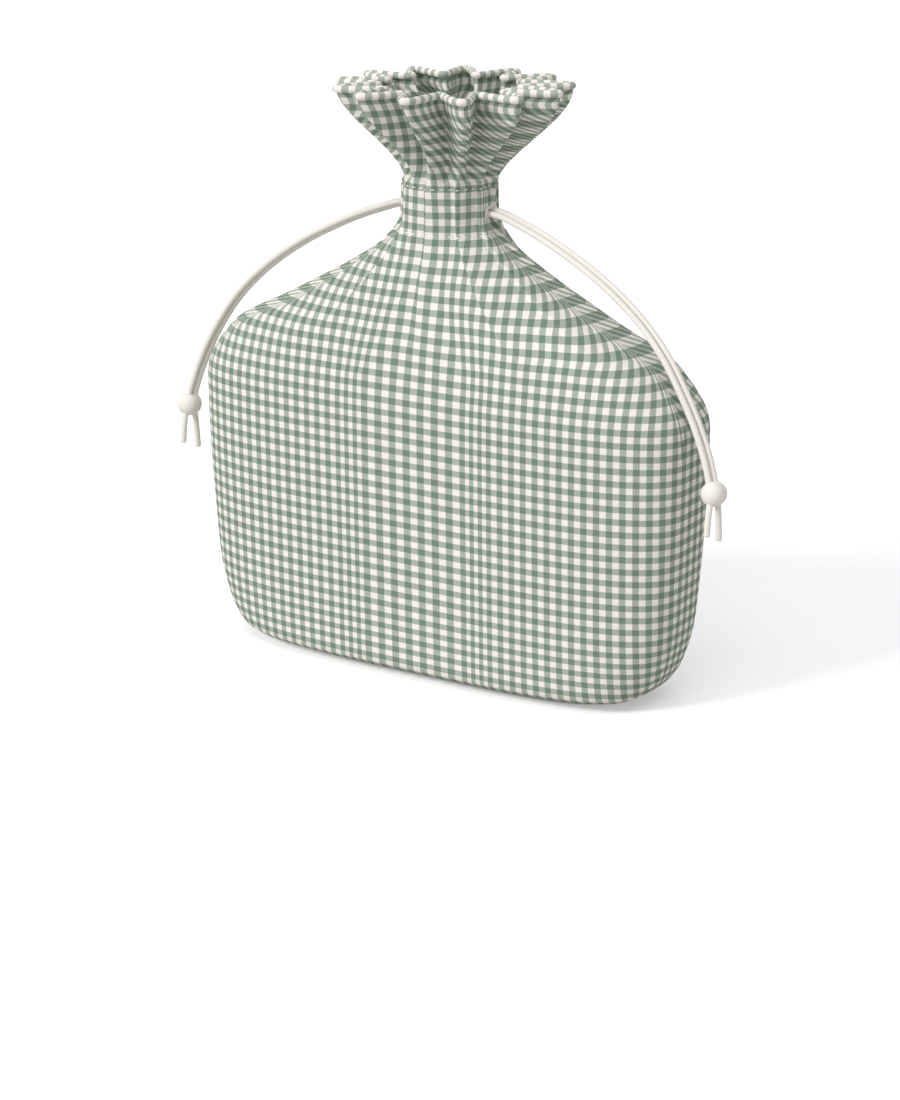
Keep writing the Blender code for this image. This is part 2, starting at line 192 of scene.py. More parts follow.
# The channel's two seams: their dent and its half height, and the stitches along them. Widths and
# half lengths are shares of the stitch's own, for the smallest stitch and the largest.
SEAM_DENT = 0.00035
SEAM_SPAN = 0.0007
STITCH_LENGTH = 0.0023
STITCH_RADIUS = 0.00030
STITCH_STEP = 0.0044
STITCH_LIFT = 0.8
STITCH_WIDTHS = (0.92, 1.08)
STITCH_HALF_LENGTHS = (0.46, 0.53)

# The bound slots that the cords come out of, and the two depths that their cut runs between
SLOT_HALF_HEIGHT = 0.00185
SLOT_HALF_WIDTH = 0.0037
SLOT_TILT = math.radians(20.0)
SLOT_CUT = (0.0172, 0.0262)
BINDING_RADIUS = 0.00045
BINDING_RIPPLE = 0.10

# The check's green rows, counted from the base: height and row, with the row along the hem
CHECK_ROWS = (
    (0.0, -1.4), (0.0102, 0.5), (0.0322, 4.5), (0.0858, 13.5), (0.1403, 22.5),
    (0.1900, 30.5), (0.2400, 38.5), (0.2770, 44.5), (0.2900, 46.6),
)
HEM_ROW = 46.0

# The check's width along the cloth: height and width of one cream and one green stripe. It is
# moved a little to the right of the front's middle, and so many checks go round the belly.
CHECK_COLUMNS = (
    (0.170, 0.00633), (0.180, 0.00615), (0.190, 0.0061), (0.200, 0.0060), (0.210, 0.0060),
    (0.220, 0.0060), (0.228, 0.0061), (0.234, 0.0061), (0.245, 0.0062),
)
CHECK_SHIFT = 0.0009
CHECKS_ROUND = 99

# The check's width under the base
BASE_CHECK = 0.0063

# Where the front is pulled widest by the first pleats: height, then how far right and left of the
# middle. The pull has faded to a quarter a little further on, and is gone at PULL_END.
PULLED_FRONT = (
    (0.150, 0.0330, 0.0245), (0.160, 0.0310, 0.0200), (0.170, 0.0255, 0.0145),
    (0.180, 0.0200, 0.0120), (0.190, 0.0150, 0.0065), (0.200, 0.0125, 0.0050),
    (0.210, 0.0090, 0.0045), (0.228, 0.0050, 0.0040), (0.245, 0.0, 0.0),
)
PULL_SHARE = 0.21
PULL_FADE = 0.0140
PULL_LEFT = 0.25
PULL_END = 0.140

# The side seams: height, then the share of the way round from the front's middle, right and left
SIDE_SEAMS = (
    (0.150, 0.234, 0.212), (0.165, 0.238, 0.202), (0.176, 0.241, 0.188), (0.190, 0.242, 0.182),
    (0.205, 0.242, 0.170), (0.220, 0.240, 0.120), (0.239, 0.240, 0.103), (0.2400, 0.400, 0.400),
)

# How wide the cloth is pinched at those seams, and how many checks are taken in there
PINCH_WIDTH = 0.0055
PINCH_CHECKS = 1.6

# Where the front's count and the back's begin to part at the side seams, and over what height
PARTING_START = 0.126
PARTING_SPAN = 0.014

# Colours
CREAM = (0.930, 0.872, 0.815)
GREEN_STRIPE = (0.443, 0.543, 0.485)
CORD_TONES = ((0.84, 0.795, 0.73, 1.0), (0.90, 0.86, 0.80, 1.0))
THREAD_TONES = ((0.93, 0.91, 0.87, 1.0), (0.98, 0.97, 0.94, 1.0))
WHITE = (1.0, 1.0, 1.0, 1.0)
FLOOR_WHITE = (0.9, 0.9, 0.9, 1.0)
FLOOR_BOUNCE = (0.70, 0.69, 0.68, 1.0)

# The gingham's yarns: how many to a check, where a stripe's soft edge lies, how slubs and
# crossings change the tone, and how far the yarns stand out
YARNS_PER_CHECK = 20.0
STRIPE_EDGE = (0.235, 0.265)
SLUBS_PER_CHECK = 7.0
SLUB_TONES = (0.95, 1.05)
CROSSING_TONE = 0.035
YARN_RELIEF = 0.00008

# The grain of the cords' cotton and of the sewing thread: how fine, and how far it stands out
FUZZ_FINENESS = 900.0
FUZZ_RELIEF = 0.0002
TWIST_FINENESS = 1500.0
TWIST_RELIEF = 0.0001

# How finely everything is divided. The cloth's skins have their numbers of levels on the body, on
# the shoulders, between the seams and on the frill.
COLUMNS = 28 * FLUTES
OUTLINE_STEPS = 5760
NORMAL_STEP = 0.0002
BASE_LEVELS = (0.0, 0.001, 0.0025, 0.0045, 0.007)
BODY_SPAN = (0.010, 0.130)
OUTER_DIVISIONS = (22, 46, 9, 34)
INNER_DIVISIONS = (6, 14, 4, 26)
INNER_BASE_LEVELS = 4
INNER_BASE_STEP = 0.0004
LIP_STEPS = 13
CUT_STEPS = 40
BINDING_STEPS = 120
BINDING_SIDES = 14
CURVE_STEPS = 20
ROUTE_STEPS = 400
CORD_STEP = 0.0004
CORD_SIDES = 18

# The view: turned from the front, raised, and how far off, with a narrow lens
VIEW_TURN = math.radians(33.104)
VIEW_RISE = math.radians(17.246)
VIEW_DISTANCE = 1.457
VIEW_HEIGHT = 0.0575
HALF_VIEW = math.radians(10.5)
SENSOR = 36.0

# The lamps: name, where each stands, its strength and how wide it is in degrees. Then the even
# light all round, and the floor.
LAMPS = (("key", (-0.45, -1.0, 0.72), 1.64, 16.0), ("overhead", (0.25, -0.50, 1.0), 0.70, 40.0))
ROOM_LIGHT = 0.46
FLOOR_GLOW = 0.35
FLOOR_RADIUS = 30.0


# Small helps

def ease(share):
    """Rises smoothly from 0 to 1."""
    share = np.clip(share, 0.0, 1.0)
    return share * share * (3.0 - 2.0 * share)


def unit(vectors):
    """Each row of an array made one long."""
    return vectors / np.linalg.norm(vectors, axis=1)[:, None]


def travelled_to(points):
    """How far each point lies along the line through them all."""
    return np.concatenate([[0.0], np.cumsum(np.linalg.norm(np.diff(points, axis=0), axis=1))])


def read_table(table, column, height):
    """A value read from a table by height, straight between its rows."""
    return float(np.interp(height, [row[0] for row in table], [row[column] for row in table]))


def smooth_value(stations, column, height):
    """A value between stations on a curve that never overshoots them."""
    heights = np.array([station[0] for station in stations])
    values = np.array([station[column] for station in stations])
    spans = np.diff(heights)
    slopes = np.diff(values) / spans
    tangents = np.concatenate([slopes[:1], np.zeros(len(slopes) - 1), slopes[-1:]])
    for i in range(1, len(slopes)):
        if slopes[i - 1] * slopes[i] > 0:
            before, after = spans[i - 1] + 2 * spans[i], 2 * spans[i - 1] + spans[i]
            tangents[i] = (before + after) / (before / slopes[i - 1] + after / slopes[i])
    i = int(np.clip(np.searchsorted(heights, height) - 1, 0, len(spans) - 1))
    u = (height - heights[i]) / spans[i]
    start = (1 + 2 * u) * (1 - u) ** 2 * values[i] + u * (1 - u) ** 2 * spans[i] * tangents[i]
    end = u * u * (u - 1) * spans[i] * tangents[i + 1]
    return start + u * u * (3 - 2 * u) * values[i + 1] + end


def linked(name, data):
    """An object with its data, put into the scene."""
    made = bpy.data.objects.new(name, data)
    bpy.context.scene.collection.objects.link(made)
    return made


def finished(name, mesh, material):
    """The smooth object that a worked mesh becomes."""
    data = bpy.data.meshes.new(name)
    mesh.to_mesh(data)
    mesh.free()
    data.materials.append(material)
    data.shade_smooth()
    return linked(name, data)


def mesh_of(thing):
    """A mesh of an object with all its modifiers carried out."""
    shaped = thing.evaluated_get(bpy.context.evaluated_depsgraph_get())
    return bpy.data.meshes.new_from_object(shaped)


def work_solids(whole, others, operation):
    """Sets a solid up to be cut by the others or united with them."""
    for other in others:
        step = whole.modifiers.new("step", "BOOLEAN")
        step.operation = operation
        step.solver = "EXACT"
        step.object = other


def bridge(mesh, low, high):
    """Faces from each point of one ring to the next ring."""
    count = len(low)
    made = []
    for i in range(count):
        j = (i + 1) % count
        made.append(mesh.faces.new((low[i], low[j], high[j], high[i])))
    return made


def close_end(mesh, row, centre, first, second):
    """Faces from a ring to its centre, turned by which of each two neighbours comes first."""
    middle = mesh.verts.new(centre)
    made = []
    for i in range(len(row)):
        edge = (row[i], row[(i + 1) % len(row)])
        made.append(mesh.faces.new((edge[first], edge[second], middle)))
    return made


# The cloth's form

def body_stations():
    """Height, half width and half depth of the cloth from the base to the top of the neck."""
    flare = BELLY_HALF_WIDTH - BASE_HALF_WIDTH
    swell = BELLY_HALF_DEPTH - BASE_HALF_DEPTH
    fall = SHOULDER_HALF_WIDTH - NECK_RADIUS
    thinning = SHOULDER_HALF_DEPTH - NECK_RADIUS
    levels = [(0.0, BASE_HALF_WIDTH, BASE_HALF_DEPTH)]
    for level, wider, deeper in BODY_SWELL:
        levels.append((level, BASE_HALF_WIDTH + wider * flare, BASE_HALF_DEPTH + deeper * swell))
    rounded = BELLY_HALF_WIDTH - ROUND_OVER_WIDTH, BELLY_HALF_DEPTH - ROUND_OVER_DEPTH
    levels.append((BELLY_LEVEL, BELLY_HALF_WIDTH, BELLY_HALF_DEPTH))
    levels.append((ROUND_OVER_LEVEL, *rounded))
    levels.append((SHOULDER_LEVEL, SHOULDER_HALF_WIDTH, SHOULDER_HALF_DEPTH))
    for level, wide, deep in SHOULDER_FALL:
        levels.append((level, NECK_RADIUS + wide * fall, NECK_RADIUS + deep * thinning))
    stations = [(level * BODY_HEIGHT, width, depth) for level, width, depth in levels]
    return stations + [(NECK_TOP, NECK_RADIUS, NECK_RADIUS)]


def frill_share(height):
    """How far up the frill a height lies, from 0 at the neck's top to 1 at the rim."""
    return (height - NECK_TOP) / (RIM_HEIGHT - NECK_TOP)


def outline_sizes(height):
    """Half width, half depth, corner exponent, flute height and flute fullness at a height."""
    if height <= NECK_TOP:
        width = smooth_value(body_stations(), 1, height)
        depth = smooth_value(body_stations(), 2, height)
        share = height / BODY_HEIGHT
        rounding = ease((share - GATHERS_START) / (1.0 - GATHERS_START))
        exponent = CORNER_EXPONENT + (2.0 - CORNER_EXPONENT) * rounding
        rise = ease((share - GATHERS_START) / PLEATS_RISE)
        sunk = ease((share - SHOULDER_LEVEL) / PLEATS_SINK)
        pleat = SHOULDER_PLEAT + (PLEAT_HEIGHT - SHOULDER_PLEAT) * sunk
        return width, depth, exponent, rise * pleat, 0.0
    share = frill_share(height)
    tip = NECK_RADIUS + PLEAT_HEIGHT
    tip += (RIM_TIP_RADIUS - tip) * ease(share)
    fold = NECK_RADIUS - PLEAT_HEIGHT
    fold += (RIM_FOLD_RADIUS - fold) * share**FOLD_DELAY
    fold -= FOLD_DIP * ease(share / DIP_COMES) * (1.0 - ease((share - DIP_COMES) / DIP_GOES))
    middle = (tip + fold) / 2
    return middle, middle, 2.0, (tip - fold) / 2, FLUTE_FULLNESS * ease(2.0 * share)


def laps():
    """How far the lapped pleats stand out round the neck, from -0.5 to 0.5.

    Each has a steep side and then a slow fall.
    """
    start = math.degrees(FLUTE_TURN) + 90.0
    turn = (start + 360.0 * np.arange(COLUMNS) / COLUMNS + 180.0) % 360.0 - 180.0
    starts = np.array([LAPS[-1] - 360.0, *LAPS, LAPS[0] + 360.0])
    which = np.searchsorted(starts, turn, side="right") - 1
    saw = 0.5 - ((turn - starts[which]) / (starts[which + 1] - starts[which])) ** LAP_FALL
    return (np.roll(saw, 1) + 2.0 * saw + np.roll(saw, -1)) / 4.0


def cloth_lift(height, flute, phase):
    """How far each column stands off the plain outline: its flutes, laps and seam dents."""
    share = frill_share(height)
    crease = CREASE_SHARPNESS - CREASE_SOFTENING * ease(share)
    wave = np.arcsin(crease * np.cos(phase)) / math.asin(crease)
    gathered = ease((height - LAPS_START) / LAPS_GROWTH)
    returned = ease((height - NECK_TOP + FLUTES_RETURN_BELOW) / FLUTES_RETURN)
    lift = flute * wave * (1.0 - FLUTES_FLATTENED * gathered * (1.0 - returned))
    folded = gathered * (1.0 - ease((height - NECK_TOP) / LAPS_FADE))
    lift = lift + folded * (LAP_BASE + LAP_RISE * laps())
    nearest = np.round(FLUTES * np.arange(COLUMNS) / COLUMNS).astype(int) % FLUTES
    lift = lift + ease(share) * np.array(FLUTE_REACH)[nearest] * (1.0 + np.cos(phase)) / 2.0
    for seam in (LOWER_SEAM, UPPER_SEAM):
        lift = lift - SEAM_DENT * math.exp(-(((height - seam) / SEAM_SPAN) ** 2))
    return lift


def cloth_ring(height):
    """The cloth's outer points round one level: a rounded outline with flutes standing on it."""
    width, depth, exponent, flute, fullness = outline_sizes(height)
    turn = np.linspace(0.0, 2.0 * math.pi, OUTLINE_STEPS + 1)
    across, along = np.cos(turn), np.sin(turn)
    x = width * np.sign(across) * np.abs(across) ** (2.0 / exponent)
    y = depth * np.sign(along) * np.abs(along) ** (2.0 / exponent)
    travelled = np.concatenate([[0.0], np.cumsum(np.hypot(np.diff(x), np.diff(y)))])
    travelled /= travelled[-1]

    def along_outline(share, values):
        return np.interp(share % 1.0, travelled, values)

    phase = 2.0 * math.pi * FLUTES * np.arange(COLUMNS) / COLUMNS
    places = FLUTE_TURN / (2.0 * math.pi) + np.arange(COLUMNS) / COLUMNS
    places = places + fullness * np.sin(2.0 * phase) / (4.0 * math.pi * FLUTES)
    lift = cloth_lift(height, flute, phase)
    share = np.clip(frill_share(height), 0.0, 1.0)
    lean = FRILL_LEAN * 4.0 * share * (1.0 - share)
    step = 2.0 / OUTLINE_STEPS
    tangent_x = along_outline(places + step, x) - along_outline(places - step, x)
    tangent_y = along_outline(places + step, y) - along_outline(places - step, y)
    length = np.hypot(tangent_x, tangent_y)
    ring_x = along_outline(places, x) + lift * tangent_y / length + lean * math.cos(FRILL_LEAN_TURN)
    ring_y = along_outline(places, y) - lift * tangent_x / length + lean * math.sin(FRILL_LEAN_TURN)
    return np.column_stack([ring_x, ring_y, np.full(COLUMNS, height)])


def outward(height):
    """The cloth's outward directions at one level."""
    ring = cloth_ring(height)
    up = cloth_ring(height + NORMAL_STEP) - cloth_ring(max(height - NORMAL_STEP, 0.0))
    across = np.roll(ring, -1, axis=0) - np.roll(ring, 1, axis=0)
    return unit(np.cross(across, up))


def inward(ring):
    """Level directions from a ring's points to the pouch's middle line."""
    return unit(ring * (-1.0, -1.0, 0.0))


def inner_skin(height):
    """The cloth's inner points at one level: square to the body, straight inward in the gathers."""
    ring = cloth_ring(height)
    turned = float(ease((height - TURN_INWARD_START) / TURN_INWARD_SPAN))
    way = inward(ring) * TURN_INWARD_WALLS * turned - outward(height) * (1.0 - turned)
    return ring + way * CLOTH_WALL


# The camera

def set_camera():
    """Looks at the pouch from its front right and a little above."""
    lens = bpy.data.cameras.new("view")
    lens.sensor_width = SENSOR
    lens.lens = SENSOR / 2.0 / math.tan(HALF_VIEW)
    camera = linked("view", lens)
    back = Vector((
        math.sin(VIEW_TURN) * math.cos(VIEW_RISE),
        -math.cos(VIEW_TURN) * math.cos(VIEW_RISE),
        math.sin(VIEW_RISE),
    ))
    camera.location = Vector((0.0, 0.0, VIEW_HEIGHT)) + back * VIEW_DISTANCE
    camera.rotation_mode = "QUATERNION"
    camera.rotation_quaternion = (-back).to_track_quat("-Z", "Y")
    bpy.context.scene.camera = camera


# Materials

class Weaver:
    """Adds nodes to one material and joins them, with its surface shader at the end."""

    def __init__(self, name, roughness):
        self.material = bpy.data.materials.new(name)
        self.material.use_nodes = True
        self.nodes = self.material.node_tree.nodes
        self.links = self.material.node_tree.links
        self.shader = self.nodes["Principled BSDF"]
        self.shader.inputs["Roughness"].default_value = roughness
        self.shader.inputs["Specular IOR Level"].default_value = 0.25

    def node(self, kind, **values):
        made = self.nodes.new(kind)
        for key, value in values.items():
            setattr(made, key, value)
        return made

    def put(self, socket, value):
        if isinstance(value, bpy.types.NodeSocket):
            self.links.new(value, socket)
        else:
            socket.default_value = value

    def reckon(self, operation, first, second=0.0, third=0.0):
        made = self.node("ShaderNodeMath", operation=operation)
        for socket, value in zip(made.inputs, (first, second, third)):
            self.put(socket, value)
        return made.outputs[0]

    def mix(self, share, first, second, blend="MIX"):
        made = self.node("ShaderNodeMix", data_type="RGBA", blend_type=blend)
        for key, value in (("Factor", share), ("A", first), ("B", second)):
            self.put(made.inputs[key], value)
        return made.outputs["Result"]

    def noise(self, vector, scale, detail):
        made = self.node("ShaderNodeTexNoise")
        for key, value in (("Vector", vector), ("Scale", scale), ("Detail", detail)):
            self.put(made.inputs[key], value)
        return made.outputs["Fac"]

    def cloth_places(self):
        """The place on the cloth in checks: both ways at once, along and up."""
        made = self.node("ShaderNodeUVMap", uv_map="cloth")
        split = self.node("ShaderNodeSeparateXYZ")
        self.links.new(made.outputs["UV"], split.inputs[0])
        return made.outputs["UV"], split.outputs["X"], split.outputs["Y"]

    def place(self):
        return self.node("ShaderNodeTexCoord").outputs["Object"]

    def range(self, value, low, high, to_low, to_high):
        made = self.node("ShaderNodeMapRange")
        ends = (("From Min", low), ("From Max", high), ("To Min", to_low), ("To Max", to_high))
        for key, number in (*ends, ("Value", value)):
            self.put(made.inputs[key], number)
        return made.outputs["Result"]

    def colour(self, tone):
        self.links.new(tone, self.shader.inputs["Base Color"])

    def bump(self, height, strength, distance):
        made = self.node("ShaderNodeBump")
        for key, value in (("Strength", strength), ("Distance", distance), ("Height", height)):
            self.put(made.inputs[key], value)
        self.links.new(made.outputs["Normal"], self.shader.inputs["Normal"])


def stripe(weave, run):
    """1 in the green half of each check and 0 in the cream half, with a yarn's width between."""
    return weave.range(weave.reckon("PINGPONG", run, 0.5), *STRIPE_EDGE, 0.0, 1.0)


def yarns(weave, run):
    """A wave with one crest for each yarn."""
    return weave.reckon("SINE", weave.reckon("MULTIPLY", run, 2.0 * math.pi * YARNS_PER_CHECK))


def gingham(name):
    """Cotton gingham: dyed and undyed yarns crossing, so that a check is cream, green or both."""
    weave = Weaver(name, roughness=0.9)
    both, along, up = weave.cloth_places()
    crossing = weave.reckon("MULTIPLY", yarns(weave, along), yarns(weave, up))
    slubs = weave.noise(both, SLUBS_PER_CHECK, detail=4.0)
    green = (*GREEN_STRIPE, 1.0)
    warp = weave.mix(stripe(weave, along), WHITE, green)
    weft = weave.mix(stripe(weave, up), WHITE, green)
    dyed = weave.mix(1.0, weave.mix(1.0, warp, weft, "MULTIPLY"), (*CREAM, 1.0), "MULTIPLY")
    uneven = weave.range(slubs, 0.25, 0.75, *SLUB_TONES)
    shade = weave.reckon("MULTIPLY_ADD", crossing, CROSSING_TONE, uneven)
    toned = weave.node("ShaderNodeVectorMath", operation="SCALE")
    weave.links.new(dyed, toned.inputs[0])
    weave.links.new(shade, toned.inputs["Scale"])
    weave.colour(toned.outputs[0])
    weave.shader.inputs["Sheen Weight"].default_value = 0.05
    weave.shader.inputs["Sheen Roughness"].default_value = 0.6
    weave.bump(crossing, strength=0.35, distance=YARN_RELIEF)
    return weave.material


def cord_cotton():
    """Soft cream cotton, braided."""
    weave = Weaver("cord_cotton", roughness=0.85)
    fuzz = weave.noise(weave.place(), FUZZ_FINENESS, detail=4.0)
    weave.colour(weave.mix(weave.range(fuzz, 0.3, 0.7, 0.0, 1.0), *CORD_TONES))
    weave.shader.inputs["Sheen Weight"].default_value = 0.1
    weave.bump(fuzz, strength=0.25, distance=FUZZ_RELIEF)
    return weave.material


def thread_cotton():
    """Pale twisted sewing thread."""
    weave = Weaver("thread_cotton", roughness=0.7)
    twist = weave.noise(weave.place(), TWIST_FINENESS, detail=2.0)
    weave.colour(weave.mix(twist, *THREAD_TONES))
    weave.bump(twist, strength=0.3, distance=TWIST_RELIEF)
    return weave.material


# The cloth

def check_run(ring, height):
    """The check's count at both ends of each face round a ring, measured along the cloth.

    The front is counted from its own middle and the back from its own, as two straight panels are
    cut. On the belly the back is eased so that both meet; above it the side seams take up the rest.
    """
    closed = np.vstack([ring, ring[:1]])
    steps = np.linalg.norm(np.diff(closed, axis=0), axis=1)
    arc = np.concatenate([[0.0], np.cumsum(steps)])
    shares = np.arange(len(closed)) / len(ring) + FLUTE_TURN / (2.0 * math.pi)
    whole = arc[-1]
    begin = (arc[:-1] - np.interp(0.75, shares, arc) + whole / 2.0) % whole - whole / 2.0
    width = read_table(CHECK_COLUMNS, 1, height)
    parted = ease((height - PARTING_START) / PARTING_SPAN)
    eased = 2.0 * CHECKS_ROUND * width / whole - 1.0
    back_scale = eased + (1.0 - eased) * parted
    seams = [read_table(SIDE_SEAMS, column, height) * whole for column in (1, 2)]
    pulls = []
    for column in (1, 2):
        peak = read_table(PULLED_FRONT, column, height)
        most = PULL_SHARE * peak
        faded = (peak + PULL_FADE, PULL_LEFT * most)
        pulls.append(((0.0, 0.0), (peak, most), faded, (PULL_END, 0.0)))

    def count(s):
        right, left = [np.interp(np.abs(s), *zip(*pull)) for pull in pulls]
        pulled = np.where(s > 0, right, -left)
        near = np.where(s > 0, seams[0] - s, seams[1] + s) / PINCH_WIDTH
        pinched = PINCH_CHECKS * parted * np.clip(1.0 - near, 0.0, 1.0) ** 2
        front = (s - pulled) / width + np.sign(s) * pinched
        turned = np.where(s > 0, s - whole / 2.0, s + whole / 2.0)
        back = np.where(s > 0, 0.5, -0.5) * CHECKS_ROUND + back_scale * turned / width
        behind = (s > seams[0]) | (s < -seams[1])
        return np.where(behind, back, front) + 0.5 - CHECK_SHIFT / width

    finish = begin + steps
    starts, ends = count(begin), count(finish)
    over = finish > whole / 2.0
    ends[over] = starts[over] + back_scale * steps[over] / width
    return starts, ends


def cloth_levels(divisions):
    """Heights of the cloth's rings, closer where its form turns and at the two seams."""
    body, shoulder, neck, frill = divisions
    clear = 2.0 * SEAM_SPAN
    levels = list(BASE_LEVELS)
    levels += list(np.linspace(*BODY_SPAN, body))
    levels += list(np.linspace(BODY_SPAN[1], LOWER_SEAM - clear, shoulder + 1)[1:])
    levels += list(np.linspace(LOWER_SEAM + clear, NECK_TOP - clear, neck))
    for seam in (LOWER_SEAM, UPPER_SEAM):
        levels += [seam - SEAM_SPAN, seam, seam + SEAM_SPAN]
    levels += list(np.linspace(NECK_TOP + clear, RIM_HEIGHT - LIP_RADIUS, frill))
    return sorted(levels)


def rolled_lip(edge, normal):
    """The hem rolled round at the rim, from the outer skin over the top to the inner skin."""
    across = np.roll(edge, -1, axis=0) - np.roll(edge, 1, axis=0)
    up = unit(np.cross(normal, across))
    reach = math.sqrt(LIP_RADIUS**2 - (CLOTH_WALL / 2) ** 2)
    centre = edge - normal * CLOTH_WALL / 2 + up * reach
    rings = []
    for i in range(LIP_STEPS):
        angle = math.radians(LIP_START + LIP_TURN * i / (LIP_STEPS - 1))
        rings.append(centre + LIP_RADIUS * (math.cos(angle) * normal + math.sin(angle) * up))
    return rings


def skin(name, rings, runs, rises, material, hollow=False):
    """A closed mesh over stacked rings, with its own check counts from runs and rises.

    A hollow one joins its last ring to its first. Any other is closed with a face across each end.
    """
    mesh = bmesh.new()
    rows = [[mesh.verts.new(point) for point in ring] for ring in rings]
    layer = mesh.loops.layers.uv.new("cloth")
    for low in range(len(rows) if hollow else len(rows) - 1):
        high = (low + 1) % len(rows)
        ends = runs[low][0], runs[low][1], runs[high][1], runs[high][0]
        risen = rises[low], rises[low], rises[high], rises[high]
        for face, along in zip(bridge(mesh, rows[low], rows[high]), zip(*ends)):
            for loop, run, rise in zip(face.loops, along, risen):
                loop[layer].uv = (run, rise)
    for row, first, second in () if hollow else ((rows[0], 1, 0), (rows[-1], 0, 1)):
        centre = np.mean([vert.co for vert in row], axis=0)
        for face in close_end(mesh, row, centre, first, second):
            for loop in face.loops:
                loop[layer].uv = (loop.vert.co.x / BASE_CHECK, loop.vert.co.y / BASE_CHECK)
    return finished(name, mesh, material)


def pouch_cloth(material):
    """The whole sewn cloth: outer face, rolled hem and inner face in one wall."""
    outer_levels = cloth_levels(OUTER_DIVISIONS)
    inner_levels = cloth_levels(INNER_DIVISIONS)
    outer = [cloth_ring(height) for height in outer_levels]
    inner = [inner_skin(height) for height in inner_levels]
    base = cloth_ring(inner_levels[0]) - unit(outward(0.0) * (1.0, 1.0, 0.0)) * CLOTH_WALL
    for i in range(INNER_BASE_LEVELS):
        inner[i] = base + (0.0, 0.0, CLOTH_WALL + INNER_BASE_STEP * i)
    lip = rolled_lip(outer[-1], outward(outer_levels[-1]))
    outer_runs = [check_run(ring, height) for ring, height in zip(outer, outer_levels)]
    inner_runs = [check_run(cloth_ring(height), height) for height in inner_levels]
    outer_rises = [read_table(CHECK_ROWS, 1, height) for height in outer_levels]
    inner_rises = [read_table(CHECK_ROWS, 1, height) for height in inner_levels]
    rings = outer + lip + inner[::-1]
    runs = outer_runs + [outer_runs[-1]] * len(lip) + inner_runs[::-1]
    rises = outer_rises + [HEM_ROW] * len(lip) + inner_rises[::-1]
    return skin("pouch_gingham", rings, runs, rises, material)


def neck_facing(material):
    """The band sewn inside the neck at its two edges, standing off between them for the cords."""
    room = CORD_DIAMETER + GAP + 2.0 * PLEAT_HEIGHT
    bend, part = FACING_BEND[0] * FACING_SLOPE, FACING_BEND[1] * room
    levels = [(FACING_BOTTOM, 0.0), (FACING_BOTTOM + bend, part)]
    levels += [(FACING_BOTTOM + FACING_SLOPE, room), (FACING_TOP - FACING_SLOPE, room)]
    levels += [(FACING_TOP - bend, part), (FACING_TOP, 0.0)]
    front, back = [], []
    for height, stand_off in levels:
        ring = inner_skin(height)
        front.append(ring + inward(ring) * (GAP + stand_off))
        back.append(ring + inward(ring) * (GAP + stand_off + FACING_WALL))
    heights = [level[0] for level in levels]
    heights += heights[::-1]
    runs = [check_run(cloth_ring(height), height) for height in heights]
    rises = [read_table(CHECK_ROWS, 1, height) for height in heights]
    return skin("neck_facing", front + back[::-1], runs, rises, material, hollow=True)


# The slots and the stitches

def slot_outline(side, steps):
    """A slot with round ends, as sideways and upward distances from its middle.

    It is tilted as the pair of cords is.
    """
    outline = []
    cosine, sine = math.cos(side * SLOT_TILT), math.sin(side * SLOT_TILT)
    for i in range(steps):
        angle = 2.0 * math.pi * (i + 0.5) / steps
        shift = math.copysign(SLOT_HALF_WIDTH - SLOT_HALF_HEIGHT, math.cos(angle))
        along = shift + SLOT_HALF_HEIGHT * math.cos(angle)
        up = SLOT_HALF_HEIGHT * math.sin(angle)
        outline.append((along * cosine - up * sine, along * sine + up * cosine))
    return outline


def cut_slots(cloth):
    """Cuts the two slots through the neck's sides."""
    for side in (-1.0, 1.0):
        mesh = bmesh.new()
        outline = slot_outline(side, CUT_STEPS)
        near, far = [
            [mesh.verts.new((x, y, EXIT_HEIGHT + z)) for y, z in outline]
            for x in sorted(side * depth for depth in SLOT_CUT)
        ]
        bridge(mesh, near, far)
        mesh.faces.new(near[::-1])
        mesh.faces.new(far)
        cutter = finished("slot_cutter", mesh, cloth.data.materials[0])
        work_solids(cloth, [cutter], "DIFFERENCE")
        whole = mesh_of(cloth)
        cloth.modifiers.clear()
        cloth.data = whole
        bpy.data.objects.remove(cutter)


def neck_side(side):
    """One side of the neck at the slots, as sideways places and how far out the cloth is there."""
    ring = cloth_ring(EXIT_HEIGHT)
    near = ring[ring[:, 0] * side > 0.5 * NECK_RADIUS]
    order = np.argsort(near[:, 1])
    return near[order, 1], near[order, 0] * side


def slot_binding(side, material):
    """A thread-bound edge round one slot, lying on the neck's side."""
    label = "right" if side > 0 else "left"
    mesh = bmesh.new()
    places, depths = neck_side(side)
    outline = slot_outline(side, BINDING_STEPS)
    middle = [(side * np.interp(y, places, depths), y, EXIT_HEIGHT + z) for y, z in outline]
    rows = []
    for i, point in enumerate(middle):
        along = np.subtract(middle[(i + 1) % len(middle)], middle[i - 1])
        along /= np.linalg.norm(along)
        out = np.cross((side, 0.0, 0.0), along)
        out /= np.linalg.norm(out)
        over = np.cross(along, out)
        reach = BINDING_RADIUS * (1.0 + BINDING_RIPPLE * math.cos(math.pi * i))
        row = []
        for k in range(BINDING_SIDES):
            angle = 2.0 * math.pi * k / BINDING_SIDES
            way = math.cos(angle) * out + math.sin(angle) * over
            row.append(mesh.verts.new(np.array(point) + reach * way))
        rows.append(row)
    for i, row in enumerate(rows):
        bridge(mesh, row, rows[(i + 1) % len(rows)])
    bmesh.ops.recalc_face_normals(mesh, faces=mesh.faces)
    return finished(f"slot_binding_{label}", mesh, material)


